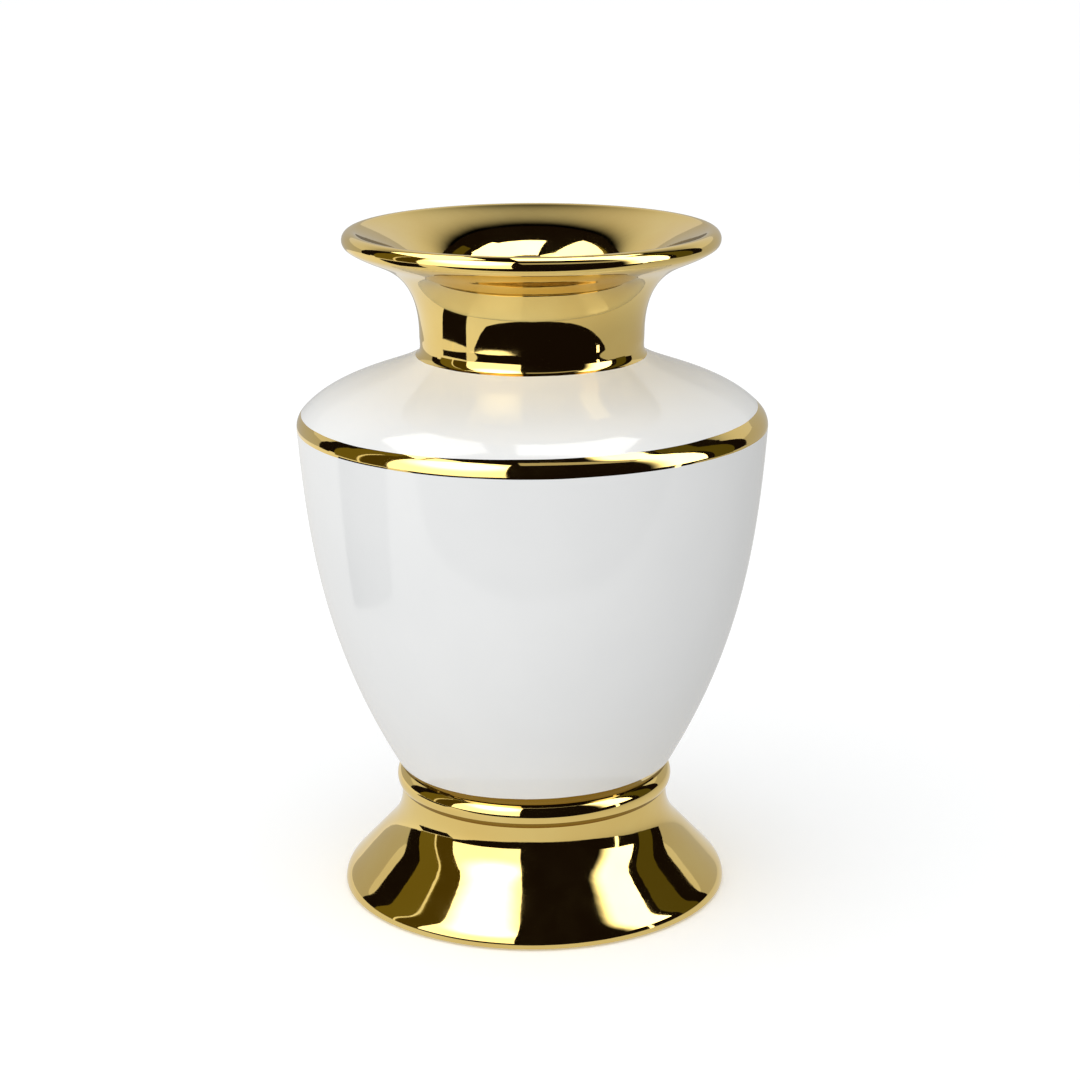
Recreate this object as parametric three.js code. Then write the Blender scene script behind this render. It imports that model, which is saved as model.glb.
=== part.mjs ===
// A footed baluster vase in glazed porcelain with gold lustre on its foot, collar, shoulder
// edge, neck and lip. The real vase is one slip casting. It is built here in its cast sections
// and finish zones, which meet on level faces: foot ring, floor, foot, collar, belly, shoulder
// band, shoulder, neck and lip. Millimetres, +Z up, origin on the table under the vase's axis.
import * as THREE from 'three'

// ---- whole vase ----
const HEIGHT = 180
const BELLY_RADIUS = 62.2 // widest point, at the rounded shoulder edge
const WALL = 4
const LEAST_ROUND = 0.2 // a rounding is kept at least this large inside the wall
const FACETS = 48

// ---- foot: a rounded edge, a straight flare, a cove, then a short upright waist ----
const FOOT_RADIUS = 52.1
const FOOT_HEIGHT = 27.7 // table to the crease under the collar
const FOOT_EDGE_ROUND = 4.5
const FOOT_EDGE_LEVEL = 0.9 // height of the widest point of the edge
const FOOT_HEM_ROUND = 0.5 // small rounding where the gilding turns under
const WAIST_RADIUS = 36.1
const WAIST_HEIGHT = 2.4 // upright stretch below the crease
const WAIST_COVE = 14

// ---- underside: a bare ring to stand on, around a raised floor ----
const RING_INSET = 1.5 // from the foot's widest point to the ring
const RING_WIDTH = 4
const RECESS = 1.6 // height of the underside above the table
const FLOOR_THICKNESS = 4

// ---- collar: a rounded moulding, and the gilded start of the belly above it ----
const COLLAR_HEIGHT = 6
const COLLAR_SWELL = 1.3 // how far it swells past the waist
const GILT_RISE = 2.7 // gilding above the crease between collar and belly

// ---- belly ----
const BELLY_SET_BACK = 0.2 // how far the belly starts inside the waist's radius
const BELLY_FOOT_TILT = -30.4
const BELLY_TOP_TILT = -3.9
const BELLY_FULLNESS_LOW = 0.39 // curve handles, as shares of the belly's chord
const BELLY_FULLNESS_HIGH = 0.35

// ---- shoulder: a rounded edge that carries the gold band, then a low dome ----
const SHOULDER_RISE = 18.5 // centre of the rounded edge to the foot of the neck
const SHOULDER_ROUND = 5
const SHOULDER_EDGE_TILT = 43.4
const SHOULDER_TOP_TILT = 59
const BAND_BELOW = 0.1 // band edges, from the centre of the rounded edge
const BAND_ABOVE = 4.1

// ---- neck and rolled lip ----
const NECK_HEIGHT = 32.9 // foot of the neck to the top of the lip
const NECK_RADIUS = 29.5
const NECK_COVE_FLARE = 0.9 // how much wider the neck is where it meets the shoulder
const NECK_COVE_HEIGHT = 5.2
const NECK_FULLNESS_LOW = 0.65
const NECK_FULLNESS_HIGH = 0.26
const LIP_RADIUS = 49.3
const LIP_ROUND = 2.42 // radius of the roll
const LIP_OUTER_TILT = -55
const LIP_INNER_TILT = 118

// ---- levels that follow from the sizes above ----
const collarTop = FOOT_HEIGHT + COLLAR_HEIGHT
const giltLevel = collarTop + GILT_RISE
const neckLevel = HEIGHT - NECK_HEIGHT
const edgeLevel = neckLevel - SHOULDER_RISE
const bandLow = edgeLevel - BAND_BELOW
const bandHigh = edgeLevel + BAND_ABOVE
const floorTop = RECESS + FLOOR_THICKNESS

// A profile point is a Vector2: x is the distance from the axis and y is the height.
const at = (radius, height) => new THREE.Vector2(radius, height)
const radians = THREE.MathUtils.degToRad
const degrees = THREE.MathUtils.radToDeg

// The point of a circle where the surface faces `tilt` degrees above level.
function onCircle(centre, radius, tilt) {
  const angle = radians(tilt)
  return at(centre.x + radius * Math.cos(angle), centre.y + radius * Math.sin(angle))
}

function arc(centre, radius, fromTilt, toTilt, steps) {
  const curve = new THREE.EllipseCurve(
    centre.x, centre.y, radius, radius, radians(fromTilt), radians(toTilt), toTilt < fromTilt)
  return curve.getPoints(steps)
}

// The way up a wall that faces `tilt` degrees above level.
const upWall = tilt => at(-Math.sin(radians(tilt)), Math.cos(radians(tilt)))

// A smooth wall between two points, facing a given tilt at each end. The handles are shares
// of the chord.
function sweep(from, fromTilt, fromShare, to, toTilt, toShare) {
  const chord = from.distanceTo(to)
  const leave = from.clone().addScaledVector(upWall(fromTilt), chord * fromShare)
  const arrive = to.clone().addScaledVector(upWall(toTilt), -chord * toShare)
  return new THREE.CubicBezierCurve(from, leave, arrive, to)
}

// Points of a curve moved inwards, square to it, by the wall thickness.
function inside(curve, steps) {
  const points = []
  for (let i = 0; i <= steps; i++) {
    const along = curve.getTangent(i / steps)
    const facing = at(along.y, -along.x)
    points.push(curve.getPoint(i / steps).addScaledVector(facing, -WALL))
  }
  return points
}

// ---- foot: the flare is the straight line that touches both the edge's arc and the cove ----
const footEdge = at(FOOT_RADIUS - FOOT_EDGE_ROUND, FOOT_EDGE_LEVEL)
const coveCentre = at(WAIST_RADIUS + WAIST_COVE, FOOT_HEIGHT - WAIST_HEIGHT)
const edgeToCove = coveCentre.clone().sub(footEdge)
const flareTilt = degrees(edgeToCove.angle() -
  Math.acos((FOOT_EDGE_ROUND + WAIST_COVE) / edgeToCove.length()))
const hemCentre = at(FOOT_RADIUS - FOOT_HEM_ROUND, FOOT_EDGE_LEVEL)
const hemLevel = FOOT_EDGE_LEVEL - FOOT_HEM_ROUND

// ---- collar: the arc through both creases that swells past the waist ----
const bellyFoot = at(WAIST_RADIUS - BELLY_SET_BACK, collarTop)
function collarArc(steps) {
  const low = at(WAIST_RADIUS, FOOT_HEIGHT)
  const high = bellyFoot
  const middle = low.clone().add(high).multiplyScalar(0.5)
  const halfChord = low.distanceTo(high) / 2
  const swell = WAIST_RADIUS + COLLAR_SWELL - middle.x
  const radius = (halfChord ** 2 + swell ** 2) / (2 * swell)
  const outward = at(high.y - low.y, low.x - high.x).normalize()
  const centre = middle.clone().addScaledVector(outward, swell - radius)
  const tiltOf = point => degrees(Math.atan2(point.y - centre.y, point.x - centre.x))
  const points = arc(centre, radius, tiltOf(low), tiltOf(high), steps)
  return [low, ...points.slice(1, -1), high]
}

// ---- the curves of the body, shared by its outside and its inside ----
const lipCentre = at(LIP_RADIUS - LIP_ROUND, HEIGHT - LIP_ROUND)
const shoulderEdge = at(BELLY_RADIUS - SHOULDER_ROUND, edgeLevel)
const bellyTop = onCircle(shoulderEdge, SHOULDER_ROUND, BELLY_TOP_TILT)
const domeFoot = onCircle(shoulderEdge, SHOULDER_ROUND, SHOULDER_EDGE_TILT)
const neckFoot = at(NECK_RADIUS + NECK_COVE_FLARE, neckLevel)
const neckWaist = at(NECK_RADIUS, neckLevel + NECK_COVE_HEIGHT)
const third = 1 / 3
const belly = sweep(bellyFoot, BELLY_FOOT_TILT, BELLY_FULLNESS_LOW,
  bellyTop, BELLY_TOP_TILT, BELLY_FULLNESS_HIGH)
const dome = sweep(domeFoot, SHOULDER_EDGE_TILT, third, neckFoot, SHOULDER_TOP_TILT, third)
const neckCove = sweep(neckFoot, SHOULDER_TOP_TILT, third, neckWaist, 0, third)
const trumpet = sweep(neckWaist, 0, NECK_FULLNESS_LOW,
  onCircle(lipCentre, LIP_ROUND, LIP_OUTER_TILT), LIP_OUTER_TILT, NECK_FULLNESS_HIGH)
const throat = sweep(at(NECK_RADIUS - WALL, neckWaist.y), 0, NECK_FULLNESS_LOW,
  onCircle(lipCentre, LIP_ROUND, LIP_INNER_TILT), LIP_INNER_TILT - 180, NECK_FULLNESS_HIGH)

// Joins runs of points into one path, dropping points that repeat the one before.
function path(...runs) {
  const apart = 0.01
  return runs.flat().filter((point, i, all) => i === 0 || point.distanceTo(all[i - 1]) > apart)
}

const outer = path(
  arc(hemCentre, FOOT_HEM_ROUND, -90, 0, 2),
  arc(footEdge, FOOT_EDGE_ROUND, 0, flareTilt, 4),
  arc(coveCentre, WAIST_COVE, 180 + flareTilt, 180, 4),
  collarArc(6),
  belly.getPoints(11),
  arc(shoulderEdge, SHOULDER_ROUND, BELLY_TOP_TILT, SHOULDER_EDGE_TILT, 5),
  dome.getPoints(6),
  neckCove.getPoints(3),
  trumpet.getPoints(9),
  arc(lipCentre, LIP_ROUND, LIP_OUTER_TILT, 90, 8),
)

// Inside, the flare's straight line is drawn on past the floor, which then cuts it.
const insideFlare = onCircle(coveCentre, WAIST_COVE + WALL, 180 + flareTilt)
const inner = path(
  [insideFlare.clone().addScaledVector(upWall(flareTilt), -FOOT_RADIUS)],
  arc(coveCentre, WAIST_COVE + WALL, 180 + flareTilt, 180, 3),
  inside(belly, 8),
  arc(shoulderEdge, Math.max(SHOULDER_ROUND - WALL, LEAST_ROUND), BELLY_TOP_TILT, SHOULDER_EDGE_TILT, 2),
  inside(dome, 4),
  inside(neckCove, 2),
  throat.getPoints(9),
  arc(lipCentre, LIP_ROUND, LIP_INNER_TILT, 90, 2),
)

// Where a rising path crosses a level.
function crossing(line, level) {
  const above = line.findIndex(point => point.y > level)
  const high = line[above]
  const low = line[above - 1]
  return low.clone().lerp(high, (level - low.y) / (high.y - low.y))
}

// The stretch of a rising path between two levels, both ends included.
function stretch(line, from, to) {
  const clear = 0.02 // a point this close to an end is the end
  const between = line.filter(point => point.y > from + clear && point.y < to - clear)
  const bottom = from <= line[0].y ? line[0] : crossing(line, from)
  const top = to >= line.at(-1).y ? line.at(-1) : crossing(line, to)
  return [bottom, ...between, top]
}

// A body turned from a closed outline. The lathe turns about Y, so the body is stood up on Z.
function turned(name, outline, material) {
  const geometry = new THREE.LatheGeometry(outline, FACETS)
  geometry.rotateX(Math.PI / 2)
  const mesh = new THREE.Mesh(geometry, material)
  mesh.name = name
  return mesh
}

const closed = outline => [...outline, outline[0].clone()]

// A section of the wall between two levels: up the outside and down the inside.
function wallSection(name, from, to, material) {
  const outside = stretch(outer, from, to)
  const within = stretch(inner, from, to).reverse()
  return turned(name, closed(path(outside, within)), material)
}

// ---- finishes ----
const gold = new THREE.MeshStandardMaterial({ color: 0xd9b45a, roughness: 0.08, metalness: 1 })
const white = new THREE.MeshStandardMaterial({ color: 0xf1f0ec, roughness: 0.12, metalness: 0 })
const bare = new THREE.MeshStandardMaterial({ color: 0xe6e0d4, roughness: 0.75, metalness: 0 })

// The floor fills the foot's inside face to face.
const floorRadius = crossing(inner, floorTop).x
const ringOuter = FOOT_RADIUS - RING_INSET
const ringInner = ringOuter - RING_WIDTH

function foot() {
  const outside = stretch(outer, hemLevel, FOOT_HEIGHT)
  const within = stretch(inner, floorTop, FOOT_HEIGHT).reverse()
  const underside = [at(floorRadius, RECESS), at(ringOuter, RECESS), at(ringOuter, hemLevel)]
  return turned('foot', closed(path(outside, within, underside)), gold)
}

function footRing() {
  const outline = [at(ringInner, 0), at(ringOuter, 0), at(ringOuter, hemLevel),
    at(ringOuter, RECESS), at(ringInner, RECESS)]
  return turned('foot_ring', closed(outline), bare)
}

function floor() {
  const outline = [at(0, RECESS), at(floorRadius, RECESS), at(floorRadius, floorTop), at(0, floorTop)]
  return turned('floor', outline, white)
}

// The lip ends below its roll, where the neck's outside has just met the roll.
const lipLevel = onCircle(lipCentre, LIP_ROUND, LIP_OUTER_TILT).y

const vase = new THREE.Group()
vase.add(footRing())
vase.add(floor())
vase.add(foot())
vase.add(wallSection('collar', FOOT_HEIGHT, giltLevel, gold))
vase.add(wallSection('belly', giltLevel, bandLow, white))
vase.add(wallSection('shoulder_band', bandLow, bandHigh, gold))
vase.add(wallSection('shoulder', bandHigh, neckLevel, white))
vase.add(wallSection('neck', neckLevel, lipLevel, gold))
vase.add(wallSection('lip', lipLevel, HEIGHT, gold))

export default vase
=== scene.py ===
# %% [markdown]
# # A gilded porcelain vase
#
# The vase is one slip casting of white porcelain. Clear glaze covers it inside and out, except
# for the ring it stands on. After the glaze firing a painter bands it with gold lustre: the
# foot, the collar, a line on the shoulder, the neck and the lip. This lesson turns the shapes
# from their sections, makes the three finishes from nodes, and builds the small studio set whose
# cards and table the gold mirrors.

import math

import bpy
from mathutils import Matrix, Vector


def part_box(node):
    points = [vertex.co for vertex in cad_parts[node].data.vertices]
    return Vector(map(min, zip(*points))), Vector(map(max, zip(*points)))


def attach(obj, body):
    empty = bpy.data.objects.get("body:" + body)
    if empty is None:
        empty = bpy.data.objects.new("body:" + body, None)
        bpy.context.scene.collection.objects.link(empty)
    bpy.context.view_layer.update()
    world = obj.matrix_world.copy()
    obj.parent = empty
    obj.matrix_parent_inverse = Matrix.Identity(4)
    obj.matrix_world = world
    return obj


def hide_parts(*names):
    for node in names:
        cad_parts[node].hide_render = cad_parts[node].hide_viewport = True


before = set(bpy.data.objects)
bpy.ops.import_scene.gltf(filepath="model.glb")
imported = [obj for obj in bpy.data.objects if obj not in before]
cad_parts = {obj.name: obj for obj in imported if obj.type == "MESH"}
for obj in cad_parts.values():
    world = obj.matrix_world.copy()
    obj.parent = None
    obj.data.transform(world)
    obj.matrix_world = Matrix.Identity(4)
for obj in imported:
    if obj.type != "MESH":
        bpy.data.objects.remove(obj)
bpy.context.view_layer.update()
MM = 0.001

# %% [markdown]
# ## The camera
#
# The camera comes first, because a mirror finish shows whatever stands where the camera can see
# it reflected. A longish lens from a little above gives the low, wide mouth and the rounded
# shoulder line. The small roll is that of a camera on a hand-set tripod.

# %% Camera
CAMERA_DISTANCE = 650 * MM
CAMERA_HEIGHT = 276.5 * MM
CAMERA_ASIDE = 1.9 * MM
CAMERA_PITCH = math.radians(15.52)
CAMERA_ROLL = math.radians(-0.24)
LENS = 83.8  # mm
SENSOR_WIDTH = 36  # mm

camera_data = bpy.data.cameras.new("studio_camera")
camera_data.sensor_width = SENSOR_WIDTH
camera_data.lens = LENS
camera = bpy.data.objects.new("studio_camera", camera_data)
stand = Matrix.Translation((CAMERA_ASIDE, -CAMERA_DISTANCE, CAMERA_HEIGHT))
tilt = Matrix.Rotation(math.pi / 2 - CAMERA_PITCH, 4, "X")
camera.matrix_world = stand @ tilt @ Matrix.Rotation(CAMERA_ROLL, 4, "Z")
bpy.context.scene.collection.objects.link(camera)
bpy.context.scene.camera = camera
bpy.context.scene.view_settings.view_transform = "Standard"
print("the camera looks down by", round(math.degrees(CAMERA_PITCH), 2), "degrees")

# %% [markdown]
# ## The section of the wall
#
# A turned or cast form is known by its section. The outside is a run of arcs and Bezier sweeps:
# the hem and flare of the foot, the cove, the collar, the belly, the shoulder edge, the dome,
# the neck and the rolled lip. The inside is the same run set in by the wall thickness. The
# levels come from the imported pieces, so that each section lands on its own solid.

# %% Levels and radii, in millimetres
def level(node, end):
    """Lowest (0) or highest (1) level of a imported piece."""
    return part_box(node)[end].z / MM


HEIGHT = level("lip", 1)
FOOT_TOP = level("foot", 1)
GILT_LINE = level("collar", 1)
BAND_LOW = level("shoulder_band", 0)
BAND_HIGH = level("shoulder_band", 1)
NECK_LEVEL = level("neck", 0)
RECESS = level("floor", 0)
FLOOR_TOP = level("floor", 1)
WALL = 4.0
FOOT_RADIUS = 52.1
BELLY_RADIUS = 62.2
COLLAR_HEIGHT = 6.0
COLLAR_TOP = FOOT_TOP + COLLAR_HEIGHT
WAIST_RADIUS = 36.1
BELLY_START = 35.9
FOOT_EDGE_ROUND = 4.5
FOOT_EDGE_LEVEL = 0.9
HEM_ROUND = 0.5
WAIST_COVE = 14.0
WAIST_HEIGHT = 2.4
COLLAR_SWELL = 1.3
EDGE_LEVEL = BAND_LOW + 0.1  # the shoulder is widest just above the band's lower line
EDGE_ROUND = 5.0
NECK_RADIUS = 29.5
NECK_SPREAD = 0.9
NECK_COVE = 5.2
LIP_RADIUS = 49.3
LIP_ROUND = 2.42
print("gilt line", round(GILT_LINE, 1), "band", round(BAND_LOW, 1), round(BAND_HIGH, 1),
      "neck", round(NECK_LEVEL, 1), "lip", round(HEIGHT, 1))


# %% Curves of a section: points are (radius, level)
def on_circle(centre, radius, tilt):
    angle = math.radians(tilt)
    return (centre[0] + radius * math.cos(angle), centre[1] + radius * math.sin(angle))


def arc(centre, radius, start, end, steps):
    return [on_circle(centre, radius, start + (end - start) * i / steps) for i in range(steps + 1)]


def sweep(start, start_tilt, start_share, end, end_tilt, end_share, steps):
    """A Bezier wall between two points; each end faces its tilt above level."""
    chord = math.dist(start, end)

    def handle(point, tilt, length):
        angle = math.radians(tilt)
        return (point[0] - length * math.sin(angle), point[1] + length * math.cos(angle))

    corners = [start, handle(start, start_tilt, chord * start_share),
               handle(end, end_tilt, -chord * end_share), end]
    points = []
    for i in range(steps + 1):
        t = i / steps
        weights = [(1 - t) ** 3, 3 * t * (1 - t) ** 2, 3 * t * t * (1 - t), t ** 3]
        points.append(tuple(sum(w * c[k] for w, c in zip(weights, corners)) for k in (0, 1)))
    return points


print("a quarter circle in two steps:",
      [(round(x, 2), round(z, 2)) for x, z in arc((0, 0), 1, 0, 90, 2)])


# %% Changing and joining runs
def set_in(points, depth):
    """The run of points moved in towards the axis, square to the run."""
    moved = []
    for i, (radius, z) in enumerate(points):
        before, after = points[max(i - 1, 0)], points[min(i + 1, len(points) - 1)]
        along = (after[0] - before[0], after[1] - before[1])
        length = math.hypot(*along)
        moved.append((radius - depth * along[1] / length, z + depth * along[0] / length))
    return moved


def joined(*runs):
    """Runs end to end, without the points that repeat or fall back."""
    path = []
    for point in (p for run in runs for p in run):
        if not path or point[1] > path[-1][1] + 1e-4:
            path.append(point)
    return path


def eased(points, step, passes, clear):
    """The run with its curvature eased, as clay under a scraper: evenly spaced points that each
    creep towards the middle of their neighbours. The lowest ones, within clear, creep less."""
    lengths = [0.0]
    for before, after in zip(points, points[1:]):
        lengths.append(lengths[-1] + math.dist(before, after))
    even, at = [], 0
    count = round(lengths[-1] / step)
    for i in range(count + 1):
        here = lengths[-1] * i / count
        while at < len(points) - 2 and lengths[at + 1] < here:
            at += 1
        share = (here - lengths[at]) / (lengths[at + 1] - lengths[at])
        even.append(tuple(a + share * (b - a) for a, b in zip(points[at], points[at + 1])))
    for _ in range(passes):
        was = list(even)
        for i in range(1, count):
            give = min(1, (was[i][1] - was[0][1]) / clear) / 4
            even[i] = tuple(m + give * (a - 2 * m + b)
                            for a, m, b in zip(was[i - 1], was[i], was[i + 1]))
    return even


print("two runs of two points that share one join to",
      len(joined([(1, 0), (1, 1)], [(1, 1), (1, 2)])), "points")

# %% [markdown]
# ## Foot and collar
#
# The foot is a straight flare between a rounded lower edge and a hollow cove under the waist.
# The flare is found as the line that touches both arcs. A plain arc that meets a plain line is
# smooth to the finger, but a mirror shows the jump in curvature as a hard edge in every
# reflection, so the run is eased when the wall is put together. The collar is one arc between
# its two creases.

# %% The foot's straight flare touches its edge arc and its cove
FOOT_EDGE = (FOOT_RADIUS - FOOT_EDGE_ROUND, FOOT_EDGE_LEVEL)
COVE = (WAIST_RADIUS + WAIST_COVE, FOOT_TOP - WAIST_HEIGHT)
HEM = (FOOT_RADIUS - HEM_ROUND, FOOT_EDGE_LEVEL)
reach = math.dist(FOOT_EDGE, COVE)
FLARE_TILT = math.degrees(
    math.atan2(COVE[1] - FOOT_EDGE[1], COVE[0] - FOOT_EDGE[0]) + 2 * math.pi
    - math.acos((FOOT_EDGE_ROUND + WAIST_COVE) / reach)) % 360
print("the flare faces", round(FLARE_TILT, 2), "degrees above level")


def collar_run(steps):
    """The arc through both creases that swells past the waist."""
    low, high = (WAIST_RADIUS, FOOT_TOP), (BELLY_START, COLLAR_TOP)
    half = math.dist(low, high) / 2
    middle = ((low[0] + high[0]) / 2, (low[1] + high[1]) / 2)
    swell = WAIST_RADIUS + COLLAR_SWELL - middle[0]
    radius = (half ** 2 + swell ** 2) / (2 * swell)
    out = ((high[1] - low[1]) / (2 * half), (low[0] - high[0]) / (2 * half))
    centre = (middle[0] + out[0] * (swell - radius), middle[1] + out[1] * (swell - radius))
    start, end = (math.degrees(math.atan2(p[1] - centre[1], p[0] - centre[0])) for p in (low, high))
    return arc(centre, radius, start, end, steps)


# %% [markdown]
# ## The whole wall
#
# Each sweep needs only the tilt at its two ends and how long it holds each tilt, as a share of the
# straight distance between them. The outside goes from hem to rim in one run, and the inside
# from the floor to the rim, so that any length can be cut from both.

# %% Tilts in degrees, holds in shares, easing in millimetres
BELLY_TILT = -30.4
BELLY_HOLDS = (0.39, 0.35)
EDGE_TILTS = (-3.9, 43.4)
NECK_FOOT_TILT = 59
EVEN_HOLD = 1 / 3
TRUMPET_HOLDS = (0.65, 0.26)
LIP_LOW = -55
LIP_TOP = 90
LIP_INNER = 118
FLARE_STEPS = 24
UPRIGHT_STEPS = 6
EASE_STEP = 0.3  # between the points that are eased
EASE_PASSES = 80
EASE_CLEAR = 9  # height above the foot's edge under which the easing dies away
print("the shoulder edge turns through", round(EDGE_TILTS[1] - EDGE_TILTS[0], 1), "degrees")

# %% Outside of the whole wall
LIP = (LIP_RADIUS - LIP_ROUND, HEIGHT - LIP_ROUND)
EDGE = (BELLY_RADIUS - EDGE_ROUND, EDGE_LEVEL)
NECK_FOOT = (NECK_RADIUS + NECK_SPREAD, NECK_LEVEL)
NECK_WAIST = (NECK_RADIUS, NECK_LEVEL + NECK_COVE)
flare_low = on_circle(FOOT_EDGE, FOOT_EDGE_ROUND, FLARE_TILT)
flare_high = on_circle(COVE, WAIST_COVE, 180 + FLARE_TILT)
flare_run = [tuple(a + (b - a) * i / FLARE_STEPS for a, b in zip(flare_low, flare_high))
             for i in range(FLARE_STEPS + 1)]
upright = [(WAIST_RADIUS, COVE[1] + (FOOT_TOP - COVE[1]) * i / UPRIGHT_STEPS)
           for i in range(UPRIGHT_STEPS + 1)]
belly_run = sweep((BELLY_START, COLLAR_TOP), BELLY_TILT, BELLY_HOLDS[0],
                  on_circle(EDGE, EDGE_ROUND, EDGE_TILTS[0]), EDGE_TILTS[0], BELLY_HOLDS[1], 110)
edge_run = arc(EDGE, EDGE_ROUND, *EDGE_TILTS, 26)
dome_run = sweep(on_circle(EDGE, EDGE_ROUND, EDGE_TILTS[1]), EDGE_TILTS[1], EVEN_HOLD,
                 NECK_FOOT, NECK_FOOT_TILT, EVEN_HOLD, 40)
cove_run = sweep(NECK_FOOT, NECK_FOOT_TILT, EVEN_HOLD, NECK_WAIST, 0, EVEN_HOLD, 20)
trumpet_run = sweep(NECK_WAIST, 0, TRUMPET_HOLDS[0], on_circle(LIP, LIP_ROUND, LIP_LOW), LIP_LOW,
                    TRUMPET_HOLDS[1], 50)
lip_run = arc(LIP, LIP_ROUND, LIP_LOW, LIP_TOP, 36)
foot_run = joined(arc(FOOT_EDGE, FOOT_EDGE_ROUND, 0, FLARE_TILT, 18), flare_run,
                  arc(COVE, WAIST_COVE, 180 + FLARE_TILT, 180, 24), upright)
OUTSIDE = joined(arc(HEM, HEM_ROUND, -90, 0, 6),
                 eased(foot_run, EASE_STEP, EASE_PASSES, EASE_CLEAR), collar_run(18),
                 belly_run, edge_run, dome_run, cove_run, trumpet_run, lip_run)
print(len(OUTSIDE), "points outside")

# %% Inside of the whole wall
inner_flare_top = on_circle(COVE, WAIST_COVE + WALL, 180 + FLARE_TILT)
lean = math.radians(FLARE_TILT)
inner_flare = [(inner_flare_top[0] + s * math.sin(lean), inner_flare_top[1] - s * math.cos(lean))
               for s in (30, 24, 18, 12, 6, 0)]  # mm down the flare from its top
throat_run = sweep((NECK_RADIUS - WALL, NECK_WAIST[1]), 0, TRUMPET_HOLDS[0],
                   on_circle(LIP, LIP_ROUND, LIP_INNER), LIP_INNER - 180, TRUMPET_HOLDS[1], 50)
INSIDE = joined(inner_flare, arc(COVE, WAIST_COVE + WALL, 180 + FLARE_TILT, 180, 12),
                set_in(belly_run, WALL), arc(EDGE, EDGE_ROUND - WALL, *EDGE_TILTS, 6),
                set_in(dome_run, WALL), set_in(cove_run, WALL), throat_run,
                arc(LIP, LIP_ROUND, LIP_INNER, LIP_TOP, 8))
print(len(INSIDE), "points inside")

# %% [markdown]
# ## Turning a section
#
# A Screw modifier would turn the sections, but every ring would be a perfect circle at a perfect
# level. A casting is a few hundredths of a millimetre out of round, and a painted line wavers.
# Both are small, and both show, because a mirror doubles every slope. So the rings are laid in
# code: each column of the turn has its own outline, with the paint's edge a little up or down
# along the wall, and the wall itself a little in or out.

# %% Hand and kiln: how far each ring is from true
COLUMNS = 224
TURN = 2 * math.pi


def out_of_round(angle, z):
    """Radial error of the casting, in millimetres."""
    slow = 0.045 * math.sin(2 * angle + 0.9 + z / 95) + 0.022 * math.sin(3 * angle + 2.1 - z / 60)
    return slow + 0.007 * math.sin(7 * angle + z / 17) + 0.004 * math.sin(11 * angle - z / 9)


def waver(angle, seed):
    """The unsteadiness of a line painted on a turning wheel, in millimetres."""
    return (0.075 * math.sin(2 * angle + seed) + 0.05 * math.sin(5 * angle + 2.3 * seed)
            + 0.025 * math.sin(13 * angle + 4.1 * seed) + 0.012 * math.sin(29 * angle + seed))


# How far each painted line stands above its level, going round.
PAINTED = {
    GILT_LINE: lambda a: 0.72 * math.cos(a) + waver(a, 1.3),
    BAND_LOW: lambda a: 0.10 * math.cos(a) - 0.10 + waver(a, 2.9),
    BAND_HIGH: lambda a: 0.75 * math.cos(a) + waver(a, 4.2),
    NECK_LEVEL: lambda a: 0.10 * math.cos(a) + 0.6 * waver(a, 0.4),
}


def line_level(z, angle):
    return z + PAINTED[z](angle) if z in PAINTED else z


errors = [abs(out_of_round(TURN * c / COLUMNS, HEIGHT / 2)) for c in range(COLUMNS)]
print("at half height the rings are out of round by up to", round(max(errors), 3), "mm")

# %% Walking along a section
CLEAR_OF_LINE = 0.03  # mm, the least from a painted line to the next ring


def crossing(path, z):
    """The point of a rising section at a level."""
    for low, high in zip(path, path[1:]):
        if high[1] >= z:
            share = (z - low[1]) / (high[1] - low[1])
            return (low[0] + share * (high[0] - low[0]), z)
    return path[-1]


def stretch_of(path, bottom, top, angle):
    """Points between two levels. The ends follow the painted lines, and the rest move with them."""
    from_z, to_z = line_level(bottom, angle), line_level(top, angle)
    own = [p[1] for p in path if bottom + CLEAR_OF_LINE < p[1] < top - CLEAR_OF_LINE]
    scale = (to_z - from_z) / (top - bottom)
    heights = [from_z] + [from_z + (z - bottom) * scale for z in own] + [to_z]
    points, at = [], 0
    for z in heights:
        while at < len(path) - 2 and path[at + 1][1] < z:
            at += 1
        low, high = path[at], path[at + 1]
        share = (z - low[1]) / (high[1] - low[1])
        points.append((low[0] + share * (high[0] - low[0]), z))
    return points


print("at half height the wall is",
      round(crossing(OUTSIDE, HEIGHT / 2)[0] - crossing(INSIDE, HEIGHT / 2)[0], 2), "mm across")

# %% Laying the rings into a mesh
TRUE_WITHIN = 1  # mm from the axis, where the rings stay round
ON_AXIS = 1e-6


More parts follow.
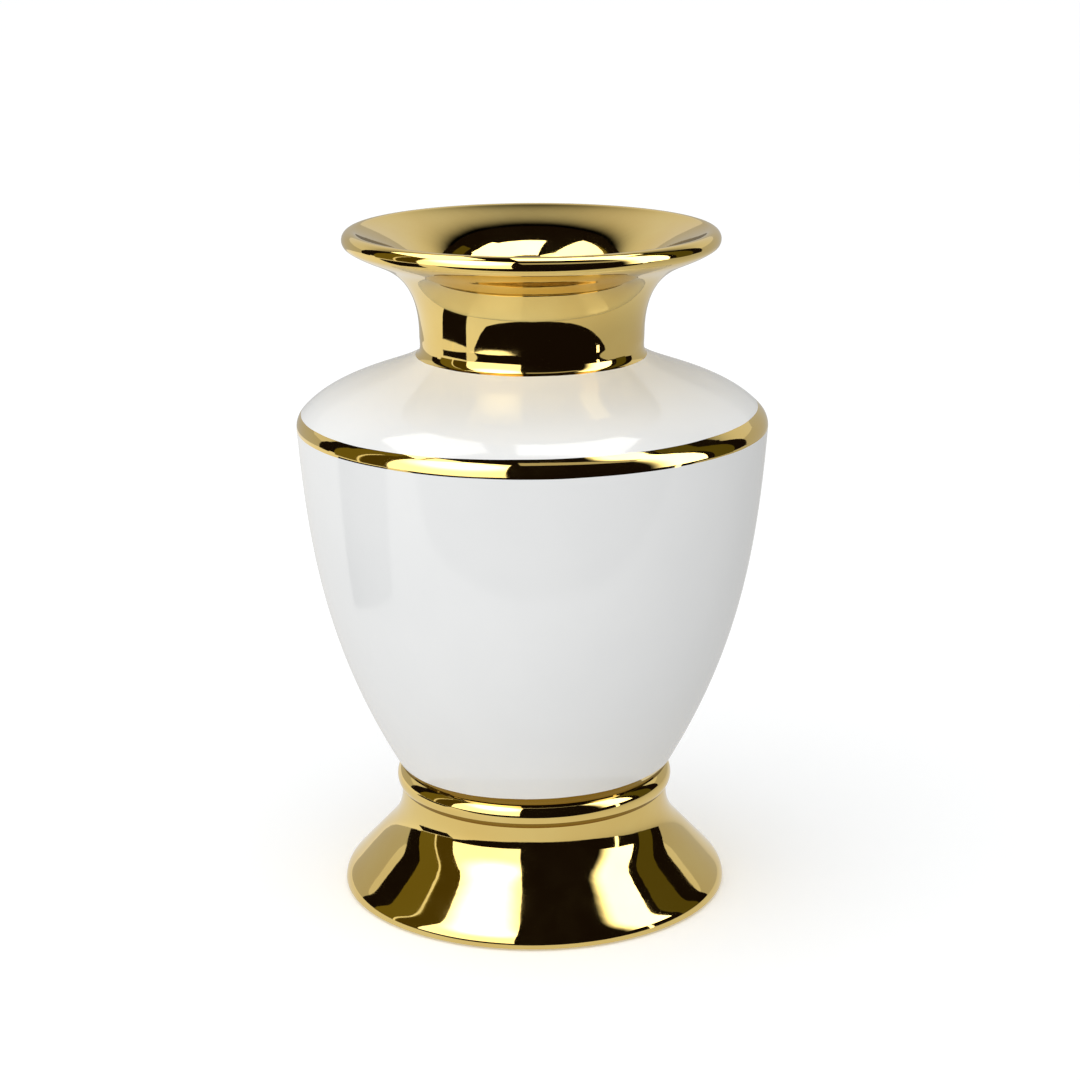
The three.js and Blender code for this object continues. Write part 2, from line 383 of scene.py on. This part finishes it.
def turned(name, outline_at, creases, replaced):
    """A closed body whose column at each angle is outline_at(angle), a closed loop."""
    vertices, columns = [], []
    for c in range(COLUMNS):
        angle = TURN * c / COLUMNS
        column = []
        for radius, z in outline_at(angle):
            radius += out_of_round(angle, z) if radius > TRUE_WITHIN else 0
            place = (radius * math.cos(angle) * MM, radius * math.sin(angle) * MM, z * MM)
            if radius < ON_AXIS and c:
                column.append(columns[0][len(column)])
                continue
            column.append(len(vertices))
            vertices.append(place)
        columns.append(column)
    faces = []
    rows = len(columns[0])
    for c in range(COLUMNS):
        here, there = columns[c], columns[(c + 1) % COLUMNS]
        for r in range(rows):
            up = (r + 1) % rows
            corners = [here[r], there[r], there[up], here[up]]
            unique = [v for i, v in enumerate(corners) if v != corners[i - 1]]
            if len(set(unique)) >= 3:
                faces.append(unique)
    mesh = bpy.data.meshes.new(name)
    mesh.from_pydata(vertices, [], faces)
    mesh.validate()
    mesh.shade_smooth()
    crease_rows = {r % rows for r in creases}
    row_of = {v: r for column in columns for r, v in enumerate(column)}
    for edge in mesh.edges:
        first, second = (row_of[v] for v in edge.vertices)
        edge.use_edge_sharp = first == second and first in crease_rows
    piece = bpy.data.objects.new(name, mesh)
    bpy.context.scene.collection.objects.link(piece)
    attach(piece, "root")
    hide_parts(*replaced)
    print(name, len(mesh.vertices), "vertices,", len(mesh.polygons), "faces")
    return piece


# %% A length of the wall
def wall_piece(name, stops, replaced):
    """A length of the wall: up the outside through its stops, then down the inside."""
    def outline(angle):
        up = []
        for bottom, top in zip(stops, stops[1:]):
            run = stretch_of(OUTSIDE, bottom, top, angle)
            up += run if not up else run[1:]
        down = stretch_of(INSIDE, stops[0], stops[-1], angle)
        down = down[::-1]
        return up + (down[1:] if stops[-1] == HEIGHT else down)

    counts = [len(stretch_of(OUTSIDE, b, t, 0)) - 1 for b, t in zip(stops, stops[1:])]
    corners = [sum(counts[:i]) for i in range(len(counts) + 1)]
    down_start = corners[-1] + (0 if stops[-1] == HEIGHT else 1)
    creases = set(corners) | {down_start, -1}
    if stops[-1] == HEIGHT:
        creases -= {corners[-1]}
    return turned(name, outline, creases, replaced)


# %% [markdown]
# ## The pieces
#
# The wall is laid in the lengths that the finishes divide: white glaze or gold. The neck and the
# lip are gilded in one sweep of the brush, so they are one length here. The foot has its own
# underside, and the floor and the ring close it below.

# %% Wall lengths
neck = wall_piece("gilded_neck_and_lip", [NECK_LEVEL, HEIGHT], ["neck", "lip"])
shoulder = wall_piece("glazed_shoulder", [BAND_HIGH, NECK_LEVEL], ["shoulder"])
band = wall_piece("gilded_shoulder_band", [BAND_LOW, BAND_HIGH], ["shoulder_band"])
belly = wall_piece("glazed_belly", [GILT_LINE, BAND_LOW], ["belly"])
collar = wall_piece("gilded_collar", [FOOT_TOP, COLLAR_TOP, GILT_LINE], ["collar"])

# %% Foot
RING_SET_IN = 1.5
RING_WIDTH = 4
RING_OUTER = FOOT_RADIUS - RING_SET_IN
RING_INNER = RING_OUTER - RING_WIDTH
HEM_LEVEL = FOOT_EDGE_LEVEL - HEM_ROUND
floor_radius = crossing(INSIDE, FLOOR_TOP)[0]


def foot_outline(angle):
    up = stretch_of(OUTSIDE, HEM_LEVEL, FOOT_TOP, angle)
    down = stretch_of(INSIDE, FLOOR_TOP, FOOT_TOP, angle)[::-1]
    return up + down + [(floor_radius, RECESS), (RING_OUTER, RECESS), (RING_OUTER, HEM_LEVEL)]


foot_rows = len(foot_outline(0))
up_rows = len(stretch_of(OUTSIDE, HEM_LEVEL, FOOT_TOP, 0))
foot = turned("gilded_foot", foot_outline,
              {up_rows - 1, up_rows, foot_rows - 4, foot_rows - 3, foot_rows - 2, foot_rows - 1},
              ["foot"])


# %% Floor and standing ring
def disc_rings(radius, z, outward):
    """Points across a disc, close together near its rim."""
    shares = [0, 0.3, 0.6, 0.8, 0.92, 0.985, 1]
    points = [(radius * s, z) for s in shares]
    return points if outward else points[::-1]


floor_piece = turned(
    "glazed_floor",
    lambda angle: (disc_rings(floor_radius, RECESS, True)
                   + disc_rings(floor_radius, FLOOR_TOP, False)),
    {6, 7}, ["floor"])


def ring_outline(angle):
    """The ring's underside is ground flat, with its two lower corners rubbed round."""
    soft = 0.45
    inner = arc((RING_INNER + soft, soft), soft, 180, 270, 5)
    outer = arc((RING_OUTER - soft, soft), soft, 270, 360, 5)
    flat = RING_OUTER - RING_INNER - 2 * soft
    middle = [(RING_INNER + soft + flat * s, 0) for s in (0.25, 0.5, 0.75)]
    return inner + middle + outer + [(RING_OUTER, RECESS), (RING_INNER, RECESS)]


ring = turned("bare_foot_ring", ring_outline, {14, 15}, ["foot_ring"])

# %% [markdown]
# ## Helpers for the finishes
#
# A node group is a small machine with labelled sockets. Two are shared here. One gives an uneven
# mask, for the drift of colour and gloss in any fired surface. The other gives a height for the
# gentle ripple left by brush and kiln.

# %% Node helpers
def link(tree, source, target):
    tree.links.new(source, target)


def node_of(tree, kind, **values):
    made = tree.nodes.new(kind)
    for key, value in values.items():
        if key in made.inputs:
            made.inputs[key].default_value = value
        else:
            setattr(made, key, value)
    return made


def group_of(name, inputs, outputs):
    """A shader node group with named float inputs and outputs."""
    tree = bpy.data.node_groups.new(name, "ShaderNodeTree")
    for socket, value in inputs.items():
        made = tree.interface.new_socket(name=socket, in_out="INPUT", socket_type="NodeSocketFloat")
        made.default_value = value
    for socket in outputs:
        tree.interface.new_socket(name=socket, in_out="OUTPUT", socket_type="NodeSocketFloat")
    return tree, tree.nodes.new("NodeGroupInput"), tree.nodes.new("NodeGroupOutput")


def ramp(tree, source, low, high, from_min=0.35, from_max=0.65, curve="LINEAR"):
    """Stretches a mask between two values."""
    spread = node_of(tree, "ShaderNodeMapRange", interpolation_type=curve)
    for key, value in (("From Min", from_min), ("From Max", from_max),
                       ("To Min", low), ("To Max", high)):
        spread.inputs[key].default_value = value
    link(tree, source, spread.inputs["Value"])
    return spread.outputs["Result"]


def blend_colours(tree, mask, first, second):
    mixed = node_of(tree, "ShaderNodeMix", data_type="RGBA")
    colour_inputs = [s for s in mixed.inputs if s.type == "RGBA"]
    colour_inputs[0].default_value = (*first, 1)
    colour_inputs[1].default_value = (*second, 1)
    link(tree, mask, mixed.inputs[0])
    return [s for s in mixed.outputs if s.type == "RGBA"][0]


print("node helpers are ready")

# %% Group: uneven mask
uneven_tree, uneven_in, uneven_out = group_of("uneven_mask", {"Scale": 40, "Seed": 0}, ["Mask"])
place = node_of(uneven_tree, "ShaderNodeTexCoord")
cloud = node_of(uneven_tree, "ShaderNodeTexNoise", noise_dimensions="4D")
cloud.inputs["Detail"].default_value = 4
cloud.inputs["Roughness"].default_value = 0.55
link(uneven_tree, place.outputs["Object"], cloud.inputs["Vector"])
link(uneven_tree, uneven_in.outputs["Scale"], cloud.inputs["Scale"])
link(uneven_tree, uneven_in.outputs["Seed"], cloud.inputs["W"])
link(uneven_tree, ramp(uneven_tree, cloud.outputs[0], 0, 1), uneven_out.inputs["Mask"])
print("group", uneven_tree.name, "has", len(uneven_tree.nodes), "nodes")

# %% Group: fired ripple
ripple_tree, ripple_in, ripple_out = group_of(
    "fired_ripple", {"Swell Scale": 60, "Peel Scale": 900, "Peel Share": 0.1}, ["Height"])
place = node_of(ripple_tree, "ShaderNodeTexCoord")
swell = node_of(ripple_tree, "ShaderNodeTexNoise")
peel = node_of(ripple_tree, "ShaderNodeTexNoise")
for noise, socket in ((swell, "Swell Scale"), (peel, "Peel Scale")):
    noise.inputs["Detail"].default_value = 1
    link(ripple_tree, place.outputs["Object"], noise.inputs["Vector"])
    link(ripple_tree, ripple_in.outputs[socket], noise.inputs["Scale"])
fine = node_of(ripple_tree, "ShaderNodeMath", operation="MULTIPLY_ADD")
link(ripple_tree, peel.outputs[0], fine.inputs[0])
link(ripple_tree, ripple_in.outputs["Peel Share"], fine.inputs[1])
link(ripple_tree, swell.outputs[0], fine.inputs[2])
link(ripple_tree, fine.outputs[0], ripple_out.inputs["Height"])
print("group", ripple_tree.name, "has", len(ripple_tree.nodes), "nodes")


# %% Material helpers
def new_material(name):
    material = bpy.data.materials.new(name)
    material.use_nodes = True
    tree = material.node_tree
    shader = next(n for n in tree.nodes if n.type == "BSDF_PRINCIPLED")
    return material, tree, shader


def placed(tree, group, **values):
    made = tree.nodes.new("ShaderNodeGroup")
    made.node_tree = group
    for key, value in values.items():
        made.inputs[key.replace("_", " ").title()].default_value = value
    return made


def bumped(tree, shader, height, distance):
    """Slopes the surface by a height; distance is the full height in metres."""
    bump = node_of(tree, "ShaderNodeBump")
    bump.inputs["Distance"].default_value = distance
    bump.inputs["Strength"].default_value = 1.0
    link(tree, height, bump.inputs["Height"])
    link(tree, bump.outputs["Normal"], shader.inputs["Normal"])


print("material helpers are ready")

# %% [markdown]
# ## Gold lustre
#
# Lustre is a film of real gold, far thinner than a hair, fired onto the glaze. It is as smooth as
# the glaze below it, so it mirrors sharply. It varies a little in warmth and brightness where
# the brush laid it thick or thin. A metallic shader with a low roughness gives the mirror; the
# masks drift its colour and gloss.

# %% Gold lustre
GOLD_THICK = (0.86, 0.655, 0.235)
GOLD_THIN = (0.83, 0.60, 0.195)
GOLD_ROUGHNESS = (0.025, 0.06)
GOLD_RIPPLE = 0.00012  # metres


def gold_lustre(name, seed):
    material, tree, shader = new_material(name)
    shader.inputs["Metallic"].default_value = 1.0
    drift = placed(tree, uneven_tree, scale=38, seed=seed)
    streak = placed(tree, uneven_tree, scale=160, seed=seed + 3)
    link(tree, blend_colours(tree, drift.outputs["Mask"], GOLD_THICK, GOLD_THIN),
         shader.inputs["Base Color"])
    link(tree, ramp(tree, streak.outputs["Mask"], *GOLD_ROUGHNESS, 0, 1),
         shader.inputs["Roughness"])
    ripple = placed(tree, ripple_tree, swell_scale=55, peel_scale=420, peel_share=0.05)
    bumped(tree, shader, ripple.outputs["Height"], GOLD_RIPPLE)
    return material


for number, piece in enumerate((foot, collar, band, neck)):
    piece.data.materials.append(gold_lustre(piece.name + "_lustre", number))
    print(piece.name, "wears", piece.data.materials[0].name)

# %% [markdown]
# ## White glaze
#
# The glaze is a clear glassy coat over white porcelain. Light that enters it comes back white;
# light that strikes it at a glance mirrors. One principled shader does both. The masks make it a
# shade cooler or warmer, as a real glaze is.

# %% White glaze
GLAZE_IOR = 1.52
GLAZE_CLEAR = (0.898, 0.898, 0.892)
GLAZE_DULL = (0.87, 0.872, 0.868)
GLAZE_ROUGHNESS = (0.08, 0.12)
GLAZE_RIPPLE = 0.0001  # metres
GLAZE_SEED = 10


def white_glaze(name, seed):
    material, tree, shader = new_material(name)
    shader.inputs["IOR"].default_value = GLAZE_IOR
    shader.inputs["Specular IOR Level"].default_value = 0.5
    drift = placed(tree, uneven_tree, scale=26, seed=seed)
    gloss = placed(tree, uneven_tree, scale=70, seed=seed + 5)
    link(tree, blend_colours(tree, drift.outputs["Mask"], GLAZE_CLEAR, GLAZE_DULL),
         shader.inputs["Base Color"])
    link(tree, ramp(tree, gloss.outputs["Mask"], *GLAZE_ROUGHNESS, 0, 1),
         shader.inputs["Roughness"])
    ripple = placed(tree, ripple_tree, swell_scale=45, peel_scale=600, peel_share=0.06)
    bumped(tree, shader, ripple.outputs["Height"], GLAZE_RIPPLE)
    return material


for number, piece in enumerate((belly, shoulder, floor_piece)):
    piece.data.materials.append(white_glaze(piece.name + "_glaze", GLAZE_SEED + number))
    print(piece.name, "wears", piece.data.materials[0].name)

# %% [markdown]
# ## Bare porcelain
#
# The ring is wiped clean of glaze, or it would fuse to the kiln shelf. Bare porcelain is matt, a
# little creamy, and finely grained, with a little dirt rubbed into the grain.

# %% Bare porcelain
BARE_CLEAN = (0.84, 0.81, 0.75)
BARE_RUBBED = (0.74, 0.70, 0.63)
BARE_ROUGHNESS = (0.62, 0.8)
BARE_GRAIN = 0.00008  # metres
bare, bare_tree, bare_shader = new_material("bare_porcelain_biscuit")
grain = placed(bare_tree, uneven_tree, scale=420, seed=21)
link(bare_tree, blend_colours(bare_tree, grain.outputs["Mask"], BARE_CLEAN, BARE_RUBBED),
     bare_shader.inputs["Base Color"])
link(bare_tree, ramp(bare_tree, grain.outputs["Mask"], *BARE_ROUGHNESS, 0, 1),
     bare_shader.inputs["Roughness"])
bare_ripple = placed(bare_tree, ripple_tree, swell_scale=300, peel_scale=2600, peel_share=0.6)
bumped(bare_tree, bare_shader, bare_ripple.outputs["Height"], BARE_GRAIN)
ring.data.materials.append(bare)
print(ring.name, "wears", bare.name)

# %% [markdown]
# ## The set
#
# A mirror has no looks of its own: gold looks like gold because of what it reflects. The set is
# made of glowing cards in a dark room. Reflections see them and the camera doesn't, so the camera
# can stand anywhere. Lamps would light the white glaze as well, while a card can be cut and moved
# for the one reflection it makes. A card that one mirror shows in another is dimmed, so that the
# gold stays calm where it faces itself.

# %% Set helpers
MIRRORED_TWICE = 0.4  # share of a card's light left when one mirror shows it in another


def sheet(name, corners):
    """A flat piece of the set."""
    mesh = bpy.data.meshes.new(name)
    mesh.from_pydata([Vector(c) for c in corners], [], [tuple(range(len(corners)))])
    piece = bpy.data.objects.new(name, mesh)
    bpy.context.scene.collection.objects.link(piece)
    return piece


def share_seen(tree):
    """1 where a card is seen in one mirror, and MIRRORED_TWICE where it is seen by way of two."""
    bounces = node_of(tree, "ShaderNodeLightPath")
    direct = node_of(tree, "ShaderNodeMath", operation="LESS_THAN")
    direct.inputs[1].default_value = 1.5  # between one mirror and two
    kept = node_of(tree, "ShaderNodeMath", operation="MULTIPLY_ADD")
    kept.inputs[1].default_value = 1 - MIRRORED_TWICE
    kept.inputs[2].default_value = MIRRORED_TWICE
    link(tree, bounces.outputs["Glossy Depth"], direct.inputs[0])
    link(tree, direct.outputs[0], kept.inputs[0])
    return kept.outputs[0]


def measured(tree, operation, vector):
    """Each point's distance from a place, or how far it lies along a direction."""
    where = node_of(tree, "ShaderNodeNewGeometry")
    measure = node_of(tree, "ShaderNodeVectorMath", operation=operation)
    measure.inputs[1].default_value = vector
    link(tree, where.outputs["Position"], measure.inputs[0])
    return measure.outputs["Value"]


print("set helpers are ready")


# %% A glowing card
def card(name, corners, colour, strength, hot=None, fade=None):
    """A glowing card that only reflections see. hot = (centre, radius, peak) brightens its middle.
    fade = (direction, start, end, least) takes it from a share, least, of its strength at the start
    to all of it at the end."""
    piece = sheet(name, corners)
    material = bpy.data.materials.new(name)
    material.use_nodes = True
    tree = material.node_tree
    tree.nodes.clear()
    glow = node_of(tree, "ShaderNodeEmission")
    glow.inputs["Color"].default_value = (*colour, 1)
    out = node_of(tree, "ShaderNodeOutputMaterial")
    link(tree, glow.outputs[0], out.inputs["Surface"])
    power = node_of(tree, "ShaderNodeMath", operation="MULTIPLY")
    power.inputs[1].default_value = strength
    link(tree, share_seen(tree), power.inputs[0])
    link(tree, power.outputs[0], glow.inputs["Strength"])
    if hot:
        centre, radius, peak = hot
        away = measured(tree, "DISTANCE", centre)
        link(tree, ramp(tree, away, peak, strength, 0, radius, "SMOOTHERSTEP"), power.inputs[1])
    if fade:
        direction, start, end, least = fade
        along = measured(tree, "DOT_PRODUCT", direction)
        link(tree, ramp(tree, along, least * strength, strength, start, end, "SMOOTHSTEP"),
             power.inputs[1])
    piece.data.materials.append(material)
    piece.visible_camera = False
    piece.visible_diffuse = False
    piece.visible_shadow = False
    print("card", name, "of strength", strength)


def level_card(name, outline, level, colour, strength, fade=None):
    """A card that lies flat, from its corners seen from above."""
    card(name, [(x, y, level) for x, y in outline], colour, strength, fade=fade)


def facing_card(name, azimuth, distance, half_width, low, high, colour, strength, soft_edge=0):
    """An upright card that faces the vase. Azimuth 0 is in front, and positive to the right.
    soft_edge is the share of its width over which its left side fades in."""
    turn = math.radians(azimuth)
    centre = Vector((math.sin(turn), -math.cos(turn), 0)) * distance
    side = Vector((math.cos(turn), math.sin(turn), 0)) * half_width
    corners = [centre - side + Vector((0, 0, low)), centre + side + Vector((0, 0, low)),
               centre + side + Vector((0, 0, high)), centre - side + Vector((0, 0, high))]
    fade = None
    if soft_edge:
        start = -half_width
        fade = (tuple(side.normalized()), start, start + 2 * half_width * soft_edge, 0)
    card(name, corners, colour, strength, fade=fade)


# %% [markdown]
# ## Table and paper
#
# Most of the gold shows one smooth tan. That is pale paper, made of glowing cards: a table round
# the vase, which ends in front of it, and a sheet that hangs behind. Both carry painted light: the
# table glows dimmer towards the right, and the sheet's glow fades out overhead. The table's edge is
# cut in steps, because the neck mirrors it: the dark patches on the neck are the room beyond it.

# %% Table and pale paper
PAPER = (1, 0.985, 0.955)
TABLE_GLOW = 0.92
TABLE_LEVEL = 2e-5  # a hair above the floor
BACK = 0.6
PAPER_LEFT, PAPER_RIGHT = -1.05, 1.0
PAPER_FOLD, PAPER_TOP = 0.36, 1.6
# Painted light: the table card glows full on the left, falling to 0.55 of that on the right.
level_card("table_top", [(0, -0.197), (0.4, -0.157), (0.9, -0.12), (0.9, BACK), (-1.0, BACK),
                         (-1.0, 0.2), (-0.19, 0.045), (-0.19, -0.065), (-0.6, -0.23),
                         (-0.6, -0.34), (-0.2, -0.187)],
           TABLE_LEVEL, PAPER, TABLE_GLOW, fade=((-1, 0, 0), -0.5, 0.4, 0.55))
level_card("table_left", [(-0.6, 0.25), (-0.6, -0.35), (-1.6, -0.6), (-1.6, 0.6)],
           TABLE_LEVEL, PAPER, TABLE_GLOW)


def paper_card(name, low, high, strength, fade=None):
    card(name, [(PAPER_LEFT, BACK, low), (PAPER_RIGHT, BACK, low), (PAPER_RIGHT, BACK, high),
                (PAPER_LEFT, BACK, high)], PAPER, strength, fade=fade)


paper_card("paper_low", 0, PAPER_FOLD, 0.5)
# Painted light: the upper sheet glows full at 0.5 m and fades to nothing at 1.45 m.
paper_card("paper_high", PAPER_FOLD, PAPER_TOP, 0.72, fade=((0, 0, 1), 1.45, 0.5, 0))

# %% [markdown]
# ## Soft box, strip and panels
#
# A large soft box on the left, hot in its middle, gives the wide white stripe on the foot and the
# bright dash in every moulding above. A tall strip on the right gives the second stripe. Its left
# edge is soft. Two panels over the mouth are what the throat mirrors, with a dimmer card, the
# brow, lower and in front of them.

# %% Soft box on the left, strip on the right, panels overhead
LAMP_WHITE = (1, 0.985, 0.95)
PANEL_LEVEL = 0.3
BROW_LEVEL = 0.22
card("soft_box", [(-0.085, -0.44, 0.06), (-0.46, -0.19, 0.05), (-0.30, -0.12, 0.62),
                  (-0.075, -0.33, 0.62)], LAMP_WHITE, 2.0,
     hot=((-0.20, -0.27, 0.40), 0.26, 7.5))
facing_card("strip_right", 68, 0.36, 0.105, 0.11, 1.2, LAMP_WHITE, 4.2, 0.45)
level_card("panel_over", [(-0.015, 0.012), (-0.015, -0.075), (0.10, -0.075), (0.10, 0.012)],
           PANEL_LEVEL, LAMP_WHITE, 4.0)
level_card("panel_left", [(-0.16, -0.08), (-0.045, -0.06), (-0.045, 0.04), (-0.16, 0.04)],
           PANEL_LEVEL, LAMP_WHITE, 3.0)
level_card("brow", [(-0.01, -0.115), (0.10, -0.105), (0.10, -0.08), (-0.01, -0.085)],
           BROW_LEVEL, PAPER, 0.5)

# %% [markdown]
# ## Thin lights and dim corners
#
# A real room is never empty. A thin light stands far off on each side, for the fine bright lines
# in the gold. Dim olive and brown cards stand in the corners, where dark gold shows a colour
# instead of black.

# %% Thin lights and dim corners
facing_card("slit_right", 70, 0.8, 0.022, -0.05, 0.7, (1, 0.99, 0.95), 3.2)
facing_card("slit_left", -86, 0.6, 0.009, 0.0, 0.6, (1, 0.95, 0.8), 1.0)
facing_card("corner_olive", -94, 0.8, 0.15, 0.0, 1.3, (1, 0.8, 0.12), 0.16)
facing_card("corner_brown", -77, 0.78, 0.11, 0.0, 1.3, (1, 0.7, 0.06), 0.075)
facing_card("corner_right", 101, 0.8, 0.11, 0.0, 1.3, (1, 0.85, 0.14), 0.09)

# %% [markdown]
# ## Floor, room and lamps
#
# The floor is plain and white. The gold and the glaze don't see it, because the table card and
# the room's light stand for it there. The room answers each kind of ray in its own way. The
# camera sees white. A mirror sees the dark. White things are lit by a smooth light that is
# stronger from the left, the front and above, which is kinder to a white glaze than a lamp. Two
# weak lamps give a little more light from above and from the left.

# %% Floor
FLOOR_REACH = 9
FLOOR_GLOW = 0.09
studio_floor = sheet("studio_floor", [(x * FLOOR_REACH, y * FLOOR_REACH, 0)
                                      for x, y in ((-1, -1), (1, -1), (1, 1), (-1, 1))])
studio_floor.visible_glossy = False
studio_floor.visible_diffuse = False
floor_material, _, floor_shader = new_material("studio_floor")
floor_shader.inputs["Base Color"].default_value = (0.98, 0.98, 0.98, 1)
floor_shader.inputs["Roughness"].default_value = 0.9
floor_shader.inputs["Specular IOR Level"].default_value = 0.0
floor_shader.inputs["Emission Color"].default_value = (1, 1, 1, 1)
floor_shader.inputs["Emission Strength"].default_value = FLOOR_GLOW
studio_floor.data.materials.append(floor_material)
print("the floor reaches", FLOOR_REACH, "metres each way")

# %% The room's three backgrounds
LIGHT_LEVEL = 0.73
LIGHT_LEAN = (-0.19, -0.31, 0.32)  # stronger from the left, the front and above
world = bpy.data.worlds.new("studio_room")
bpy.context.scene.world = world
world.use_nodes = True
room = world.node_tree
room.nodes.clear()


def background(colour):
    made = node_of(room, "ShaderNodeBackground")
    made.inputs["Color"].default_value = (*colour, 1)
    return made


dark = background((0.008, 0.005, 0.004))
pale = background((0.985, 0.995, 1))
white = background((1, 1, 1))
toward = node_of(room, "ShaderNodeTexCoord")
lean_of_light = node_of(room, "ShaderNodeVectorMath", operation="DOT_PRODUCT")
lean_of_light.inputs[1].default_value = LIGHT_LEAN
level_of_light = node_of(room, "ShaderNodeMath", operation="ADD")
level_of_light.inputs[1].default_value = LIGHT_LEVEL
link(room, toward.outputs["Generated"], lean_of_light.inputs[0])
link(room, lean_of_light.outputs["Value"], level_of_light.inputs[0])
link(room, level_of_light.outputs[0], pale.inputs["Strength"])
lean_of_room = Vector(LIGHT_LEAN).length
print("the room's pale light runs from", round(LIGHT_LEVEL - lean_of_room, 2), "to",
      round(LIGHT_LEVEL + lean_of_room, 2))

# %% Which ray sees which background
ray = node_of(room, "ShaderNodeLightPath")
from_eye = node_of(room, "ShaderNodeMath", operation="LESS_THAN")
from_eye.inputs[1].default_value = 0.5  # between no white thing on the way and one
mirrored = node_of(room, "ShaderNodeMath", operation="MULTIPLY")
pale_or_dark = node_of(room, "ShaderNodeMixShader")
room_or_white = node_of(room, "ShaderNodeMixShader")
out = node_of(room, "ShaderNodeOutputWorld")
link(room, ray.outputs["Diffuse Depth"], from_eye.inputs[0])
link(room, from_eye.outputs[0], mirrored.inputs[0])
link(room, ray.outputs["Is Glossy Ray"], mirrored.inputs[1])
link(room, mirrored.outputs[0], pale_or_dark.inputs["Fac"])
link(room, pale.outputs[0], pale_or_dark.inputs[1])
link(room, dark.outputs[0], pale_or_dark.inputs[2])
link(room, ray.outputs["Is Camera Ray"], room_or_white.inputs["Fac"])
link(room, pale_or_dark.outputs[0], room_or_white.inputs[1])
link(room, white.outputs[0], room_or_white.inputs[2])
link(room, room_or_white.outputs[0], out.inputs["Surface"])
print("the room has", len(room.nodes), "nodes")


# %% Lamps
def soft_light(name, place, aim, size, power):
    data = bpy.data.lights.new(name, "AREA")
    data.shape = "SQUARE"
    data.size = size
    data.energy = power
    lamp = bpy.data.objects.new(name, data)
    lamp.location = place
    lamp.rotation_euler = (Vector(aim) - Vector(place)).to_track_quat("-Z", "Y").to_euler()
    lamp.visible_glossy = False
    bpy.context.scene.collection.objects.link(lamp)
    print(name, "gives", power, "watts")


soft_light("top_light", (0, 0.2, 1.5), (0, 0, 0), 1.4, 1.5)
soft_light("left_light", (-0.9, -0.7, 0.7), (0, 0, 0.09), 0.7, 0.6)
